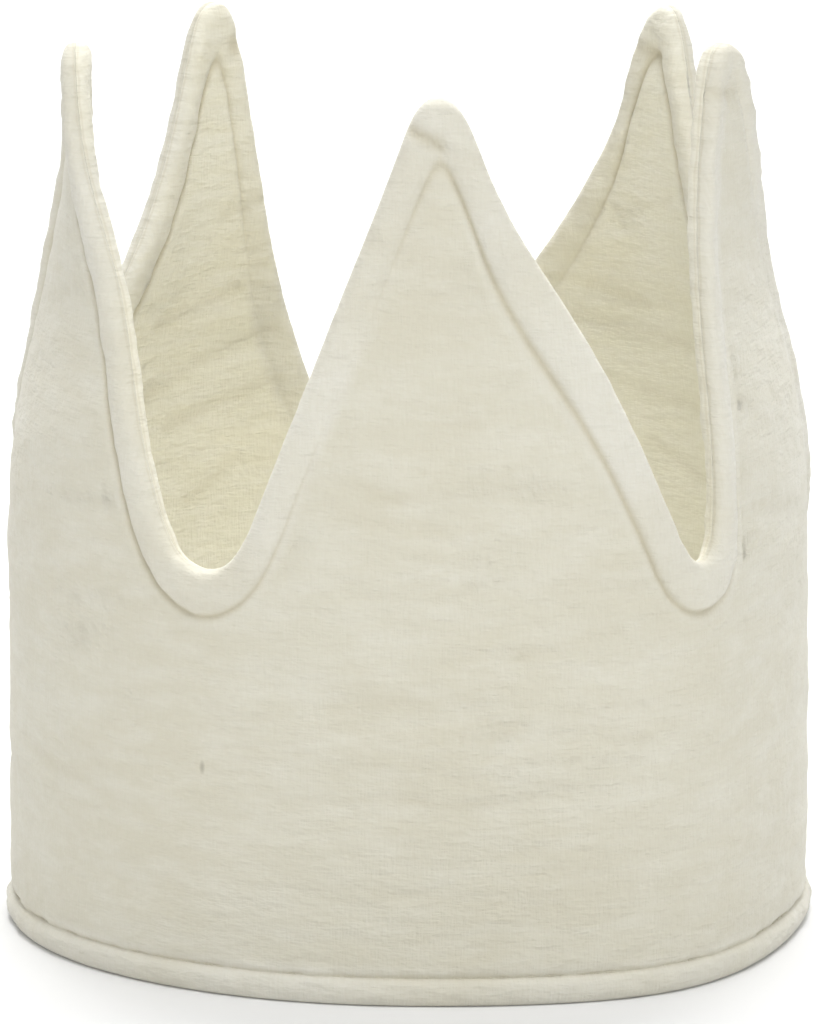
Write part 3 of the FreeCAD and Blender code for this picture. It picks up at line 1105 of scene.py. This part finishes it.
@dataclass(frozen=True)
class GauzeFinish:
    """Crinkled double gauze: a soft uneven weave with slubs, painted shade in its seams, grooves
    and creases, and a field painted lighter or darker than its rim and hem.
    """

    name: str
    base: Colour
    deep: Colour
    pale: Colour
    warm: Colour
    thread_and_shade: Colour
    fleck: Triple | None = None
    warm_spread: Spread = Spread(0.38, 0.62, 0.65)
    pale_spread: Spread = Spread(0.42, 0.72, 0.7)
    thread_spread: Spread = Spread(0.34, 0.14, 0.14)
    shade_share: float = 0.7
    fleck_spread: Spread = Spread(0.0008, 0.0002, 0.45)
    fleck_squeeze: Triple = (1.0, 1.0, 0.45)
    fleck_colour: Colour = linear(120, 112, 92)

    def material(self) -> bpy.types.Material:
        """Return the gauze's material.

        Returns:
            A new material that reads the piece's weave map and attributes.
        """
        board = NodeBoard.named(self.name)
        space = board.add("ShaderNodeTexCoord").outputs["Object"]
        weave = board.add("ShaderNodeUVMap", uv_map="weave").outputs["UV"]
        patches = board.noise(space, (24.0, 24.0, 30.0), 2.0)
        mottle = board.noise(space, (70.0, 70.0, 230.0), 3.0)
        across = board.noise(weave, (30.0, 200.0, 1.0), 2.0)
        along = board.noise(weave, (200.0, 24.0, 1.0), 2.0)
        puckers = board.noise(space, (150.0, 150.0, 380.0), 3.0)
        calm = board.add("ShaderNodeAttribute", attribute_name="field_share").outputs["Fac"]
        # Painted light: the wall's field takes the deep colour and the rim and hem the base
        # colour, so the outer layer's rim and hem are painted lighter, a painted highlight, and
        # the lining's inner field is painted lighter, painted light from inside the crown.
        colour = board.tint(calm, self.base, self.deep)
        colour = board.tint(board.share(patches, self.warm_spread), colour, self.warm)
        colour = board.tint(board.share(mottle, self.pale_spread), colour, self.pale)
        threads = board.times(across, along)
        colour = board.tint(board.share(threads, self.thread_spread), colour, self.thread_and_shade)
        # Painted shade: seams, grooves and creases are tinted towards the darker colour where the
        # cloth lies low; the same colour also darkens the threads of the weave.
        depth = board.add("ShaderNodeAttribute", attribute_name="painted_shade").outputs["Fac"]
        colour = board.tint(board.times(depth, self.shade_share), colour, self.thread_and_shade)
        if self.fleck is not None:
            colour = self.flecked(board, space, colour)
        low = board.bump(puckers, distance=0.0014, strength=0.6)
        fine = board.bump(threads, distance=0.0006, strength=0.45, below=low)
        return board.close(colour, fine, rough=0.92, sheen=0.3)

    def flecked(self, board: NodeBoard, space: Socket, colour: Socket) -> Socket:
        """Return the colour with one small fleck of husk caught in the weave.

        Args:
            board: The material's nodes.
            space: The coordinates on the piece.
            colour: The colour around the fleck.

        Returns:
            The colour with the fleck in it.
        """
        away = board.add("ShaderNodeVectorMath", operation="SUBTRACT")
        board.join(space, away.inputs[0])
        away.inputs[1].default_value = self.fleck
        squeeze = board.add("ShaderNodeVectorMath", operation="MULTIPLY")
        board.join(away.outputs["Vector"], squeeze.inputs[0])
        squeeze.inputs[1].default_value = self.fleck_squeeze
        length = board.add("ShaderNodeVectorMath", operation="LENGTH")
        board.join(squeeze.outputs["Vector"], length.inputs[0])
        share = board.share(length.outputs["Value"], self.fleck_spread)
        return board.tint(share, colour, self.fleck_colour)


@dataclass(frozen=True)
class PlainClothFinish:
    """Felt or thread: one colour with a fibrous mottle."""

    name: str
    base: Colour
    other: Colour
    grain: float

    def material(self) -> bpy.types.Material:
        """Return the felt's or thread's material.

        Returns:
            A new material.
        """
        board = NodeBoard.named(self.name)
        space = board.add("ShaderNodeTexCoord").outputs["Object"]
        fibres = board.noise(space, (self.grain, self.grain, self.grain), 4.0)
        colour = board.tint(board.ramp(fibres, 0.35, 0.7), self.base, self.other)
        fuzz = board.bump(fibres, distance=0.0004, strength=0.6)
        return board.close(colour, fuzz, rough=0.95, sheen=0.2)


@dataclass(frozen=True)
class FloorFinish:
    """A white floor that keeps the object's shadow and shows white to the eye."""

    name: str = "white_floor"
    paint: Colour = (0.80, 0.80, 0.80)
    glow: float = 0.06

    def material(self) -> bpy.types.Material:
        """Return the floor's material.

        Returns:
            A new material.
        """
        board = NodeBoard.named(self.name)
        seen = board.add("ShaderNodeLightPath").outputs["Is Camera Ray"]
        matte = board.add("ShaderNodeBsdfDiffuse")
        matte.inputs["Color"].default_value = (*self.paint, 1.0)
        light = board.add("ShaderNodeEmission")
        light.inputs["Color"].default_value = (1.0, 1.0, 1.0, 1.0)
        board.join(board.times(seen, self.glow), light.inputs["Strength"])
        both = board.add("ShaderNodeAddShader")
        board.join(matte.outputs["BSDF"], both.inputs[0])
        board.join(light.outputs["Emission"], both.inputs[1])
        output = board.add("ShaderNodeOutputMaterial")
        board.join(both.outputs["Shader"], output.inputs["Surface"])
        return board.material


@dataclass(frozen=True)
class SoftLamp:
    """A square soft lamp that points at the middle of the crown."""

    name: str
    place: Triple
    size: float
    watts: float
    colour: Colour
    aim: Triple = (0.0, 0.0, 0.08)

    def build(self) -> None:
        """Hang the lamp in the scene and turn it to the crown."""
        light = bpy.data.lights.new(self.name, "AREA")
        light.energy = self.watts
        light.size = self.size
        light.color = self.colour
        lamp = bpy.data.objects.new(self.name, light)
        lamp.location = self.place
        beam = Vector(self.aim) - Vector(self.place)
        lamp.rotation_euler = beam.to_track_quat("-Z", "Y").to_euler()
        bpy.context.collection.objects.link(lamp)


@dataclass(frozen=True)
class Studio:
    """The floor, the soft light and the camera.

    Places and reaches are in metres, and the lens and its sensor in millimetres.
    """

    floor_reach: float = 4.0
    camera_place: Triple = (0.0, -1.615, 0.411)
    pitch: float = 11.385
    lens: float = 273.0
    sensor: float = 36.0
    farthest: float = 50.0
    world_light: float = 0.3
    world_colour: Colour = (0.97, 0.985, 1.0)
    lamps: tuple[SoftLamp, ...] = (
        SoftLamp("key_lamp", (0.2, -1.1, 2.1), 1.4, 24.0, (1.0, 1.0, 0.99)),
        SoftLamp("front_lamp", (0.3, -2.1, 0.5), 1.2, 4.5, (1.0, 1.0, 0.99)),
        SoftLamp("left_lamp", (-1.6, -0.9, 0.8), 1.2, 4.2, (1.0, 1.0, 1.0)),
        SoftLamp("right_lamp", (1.7, -0.8, 0.8), 1.2, 3.6, (0.96, 0.98, 1.0)),
        SoftLamp("back_lamp", (0.0, 1.2, 2.0), 1.6, 58.0, (1.0, 1.0, 1.0)),
        SoftLamp("top_lamp", (0.0, 0.1, 1.9), 1.6, 5.0, (1.0, 1.0, 1.0)),
    )

    def floor(self) -> None:
        """Lay the floor."""
        slab = bmesh.new()
        bmesh.ops.create_grid(slab, x_segments=1, y_segments=1, size=self.floor_reach)
        floor = finished(slab, "studio_floor")
        floor.data.materials.append(FloorFinish().material())

    def camera(self) -> None:
        """Set up the camera, which becomes the scene's own."""
        view = bpy.data.cameras.new("studio_camera")
        view.lens = self.lens
        view.sensor_width = self.sensor
        view.sensor_fit = "AUTO"
        view.clip_end = self.farthest
        camera = bpy.data.objects.new("studio_camera", view)
        camera.location = self.camera_place
        camera.rotation_euler = (math.radians(90.0 - self.pitch), 0.0, 0.0)
        bpy.context.collection.objects.link(camera)
        bpy.context.scene.camera = camera

    def world(self) -> None:
        """Give the scene an even pale surround that shows white to the eye."""
        world = bpy.data.worlds.new("studio_world")
        world.use_nodes = True
        nodes, links = world.node_tree.nodes, world.node_tree.links
        nodes.clear()
        paths = nodes.new("ShaderNodeLightPath")
        lit = nodes.new("ShaderNodeBackground")
        lit.inputs["Color"].default_value = (*self.world_colour, 1.0)
        lit.inputs["Strength"].default_value = self.world_light
        seen = nodes.new("ShaderNodeBackground")
        seen.inputs["Color"].default_value = (1.0, 1.0, 1.0, 1.0)
        seen.inputs["Strength"].default_value = 1.0
        mix = nodes.new("ShaderNodeMixShader")
        output = nodes.new("ShaderNodeOutputWorld")
        links.new(paths.outputs["Is Camera Ray"], mix.inputs["Fac"])
        links.new(lit.outputs["Background"], mix.inputs[1])
        links.new(seen.outputs["Background"], mix.inputs[2])
        links.new(mix.outputs["Shader"], output.inputs["Surface"])
        bpy.context.scene.world = world

    def build(self) -> None:
        """Set up the whole studio."""
        self.floor()
        self.world()
        for lamp in self.lamps:
            lamp.build()
        self.camera()
        bpy.context.scene.view_settings.view_transform = "Standard"


@dataclass
class Crown:
    """The whole crown: its two layers, its core and its stitches."""

    outline: Outline = field(default_factory=lambda: Outline(Ring()))

    def outer(self) -> bpy.types.Object:
        """Return the outer layer, dressed and set in place of its plain solid.

        Returns:
            The finished piece.
        """
        piece = GauzeLayer(
            "outer_gauze",
            Layer.OUTER,
            self.outline,
            Crinkle(seed=3.7),
            creases=(
                Crease((0.6, 178.8), (6.8, 175.8), 0.9, 1.3),
                Crease((79.0, 182.0), (90.0, 181.0), 0.9, 0.7),
                Crease((-14.5, 118.5), (14.0, 119.5), 0.9, 0.26),
                Crease((-8.4, 105.0), (31.0, 106.5), 0.8, 0.34),
                Crease((-16.6, 110.0), (-2.3, 104.8), 0.9, 0.26),
                Crease((-5.3, 124.5), (12.0, 121.8), 0.8, 0.24),
                Crease((-16.6, 101.4), (8.0, 98.4), 1.0, 0.26),
                Crease((5.9, 71.6), (23.0, 73.0), 0.9, 0.28),
                Crease((22.0, 73.0), (41.0, 77.5), 0.9, 0.30),
                Crease((-16.6, 62.3), (14.0, 64.4), 1.1, 0.22),
                Crease((-26.9, 41.6), (1.8, 43.0), 0.9, 0.28),
                Crease((3.9, 41.6), (31.0, 43.8), 0.8, 0.30),
                Crease((-7.0, 23.3), (30.0, 20.5), 1.0, 0.24),
                Crease((-103.0, 44.0), (-68.0, 38.0), 1.1, 0.34),
                Crease((80.0, 97.0), (108.0, 92.0), 1.1, 0.34),
                Crease((-6.0, 150.0), (12.0, 152.0), 0.9, 0.22),
            ),
            faint=(Swell(0.8, -9.0, 8.0), Swell(1.0, 82.0, 14.0), Swell(0.8, 54.0, 6.0)),
        ).build()
        finish = GauzeFinish(
            "outer_gauze",
            # The rim and hem take the base colour, painted lighter than the field's deep colour as
            # a painted highlight.
            base=linear(224, 221, 209),
            deep=linear(216, 212, 195),
            pale=linear(222, 219, 205),
            warm=linear(213, 208, 189),
            thread_and_shade=linear(198, 190, 165),
            fleck=(-0.0425, -0.0735, 0.0475),
        )
        piece.data.materials.append(finish.material())
        return self.declared(piece, "outer_panel")

    def lining(self) -> bpy.types.Object:
        """Return the lining, dressed and set in place of its plain solid.

        Returns:
            The finished piece.
        """
        piece = GauzeLayer(
            "lining_gauze",
            Layer.LINING,
            self.outline,
            Crinkle(seed=-8.2, rising=0.16),
            creases=(
                Crease((314.0, 179.0), (315.6, 177.5), 1.9, 1.3),
                Crease((188.5, 177.6), (196.5, 178.6), 1.0, 0.9),
                Crease((180.0, 174.0), (172.0, 152.0), 0.8, 0.5),
                Crease((334.6, 116.5), (310.3, 123.0), 1.0, 0.40),
                Crease((334.6, 101.0), (299.7, 113.5), 1.0, 0.45),
                Crease((328.0, 92.4), (297.0, 101.5), 1.0, 0.45),
                Crease((321.8, 75.0), (307.5, 83.6), 1.1, 0.36),
                Crease((318.0, 140.0), (304.0, 144.0), 0.9, 0.32),
                Crease((228.6, 116.5), (188.8, 113.0), 1.0, 0.40),
                Crease((206.0, 101.0), (186.0, 99.0), 1.0, 0.36),
                Crease((217.9, 124.0), (199.9, 121.0), 0.9, 0.32),
                Crease((208.0, 141.0), (186.0, 146.0), 0.9, 0.30),
                Crease((204.0, 90.0), (184.0, 82.0), 1.0, 0.36),
            ),
            faint=(Swell(0.8, 203.0, 9.0), Swell(0.8, 162.0, 14.0)),
            rise=0.6,
        ).build()
        finish = GauzeFinish(
            "lining_gauze",
            # The lining's deep colour, for its inner field, is painted light: lighter and warmer
            # than its rim, for the light thrown about inside the crown, and its pale and warm
            # mottles are set as light.
            base=linear(226, 223, 210),
            deep=linear(241, 238, 220),
            pale=linear(243, 240, 226),
            warm=linear(238, 233, 211),
            thread_and_shade=linear(200, 191, 164),
        )
        piece.data.materials.append(finish.material())
        return self.declared(piece, "lining_panel")

    def declared(self, piece: bpy.types.Object, node: str) -> bpy.types.Object:
        """Return a layer after it is attached to the root and its plain solid is hidden.

        Args:
            piece: The layer's object.
            node: The plain solid that it stands in for.

        Returns:
            The same object.
        """
        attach(piece, "root")
        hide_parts(node)
        return piece

    def stitches(self) -> bpy.types.Object:
        """Return the hem's stitches, dressed and set in place of their plain solid.

        Returns:
            The finished piece.
        """
        piece = HemStitches(self.outline.ring).build()
        finish = PlainClothFinish(
            "cream_thread", linear(206, 200, 180), linear(220, 215, 198), grain=2500.0
        )
        piece.data.materials.append(finish.material())
        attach(piece, "root")
        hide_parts("hem_thread")
        return piece

    def core(self) -> bpy.types.Object:
        """Return the hidden core, dressed and set in place of its plain solid.

        Returns:
            The finished piece.
        """
        piece = FeltCore(self.outline).build()
        finish = PlainClothFinish(
            "white_felt", linear(226, 224, 216), linear(214, 211, 202), grain=900.0
        )
        piece.data.materials.append(finish.material())
        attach(piece, "root")
        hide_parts("felt_core")
        return piece


def main() -> None:
    """Load the frame, build and report each piece, and set up the studio."""
    logging.basicConfig(level=logging.INFO, format="%(name)s %(message)s")
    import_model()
    crown = Crown()
    for make in (crown.outer, crown.lining, crown.stitches, crown.core):
        piece = make()
        LOG.info("%s: %d faces", piece.name, len(piece.data.polygons))
    Studio().build()


if __name__ == "__main__":
    main()
